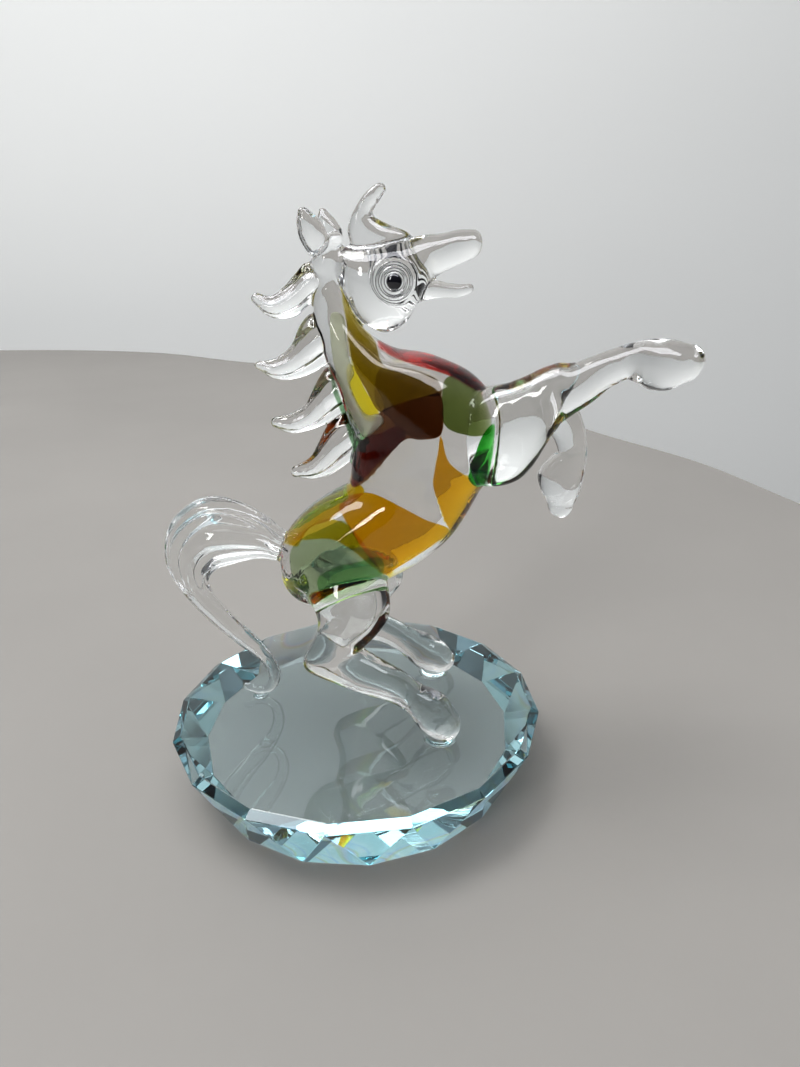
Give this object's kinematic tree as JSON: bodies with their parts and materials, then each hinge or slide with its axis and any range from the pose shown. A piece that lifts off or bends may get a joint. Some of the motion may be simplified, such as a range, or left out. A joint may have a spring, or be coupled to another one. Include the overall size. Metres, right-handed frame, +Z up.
{
  "type": "glass horse figurine",
  "caption": "Rearing lampworked glass horse with coloured cores in its body, standing on a round faceted clear crystal base.",
  "frame": {"origin": "centre of the base's underside", "axes": "+X the way the horse faces, +Z up out of the base, +Y to the horse's left"},
  "size_m": [0.0784, 0.0596, 0.09],
  "materials": {
    "crystal": "cut and polished",
    "bond": "clear adhesive",
    "clear_glass": "fire polished",
    "amber_glass": "transparent amber",
    "ruby_glass": "transparent ruby",
    "green_glass": "transparent green",
    "black_glass": "opaque black"
  },
  "bodies": {
    "root": {"base_disc": "crystal", "pad_right": "bond", "pad_left": "bond", "pad_tail": "bond", "body_casing": "clear_glass", "core_neck": "amber_glass", "core_ruby": "ruby_glass", "core_shoulder": "green_glass", "core_barrel": "amber_glass", "core_haunch": "green_glass", "head": "clear_glass", "lower_jaw": "clear_glass", "forelock": "clear_glass", "ear_right": "clear_glass", "ear_left": "clear_glass", "eye_bead_right": "clear_glass", "eye_bead_left": "clear_glass", "pupil_right": "black_glass", "pupil_left": "black_glass", "mane_lock_1": "clear_glass", "mane_lock_2": "clear_glass", "mane_lock_3": "clear_glass", "mane_lock_4": "clear_glass", "foreleg_upper_right": "clear_glass", "foreleg_lower_right": "clear_glass", "hoof_fore_right": "clear_glass", "foreleg_upper_left": "clear_glass", "foreleg_lower_left": "clear_glass", "hoof_fore_left": "clear_glass", "hind_thigh_right": "clear_glass", "hind_shank_right": "clear_glass", "hoof_hind_right": "clear_glass", "hind_thigh_left": "clear_glass", "hind_shank_left": "clear_glass", "hoof_hind_left": "clear_glass", "tail_plume": "clear_glass", "tail_whip": "clear_glass"}
  },
  "joints": []
}
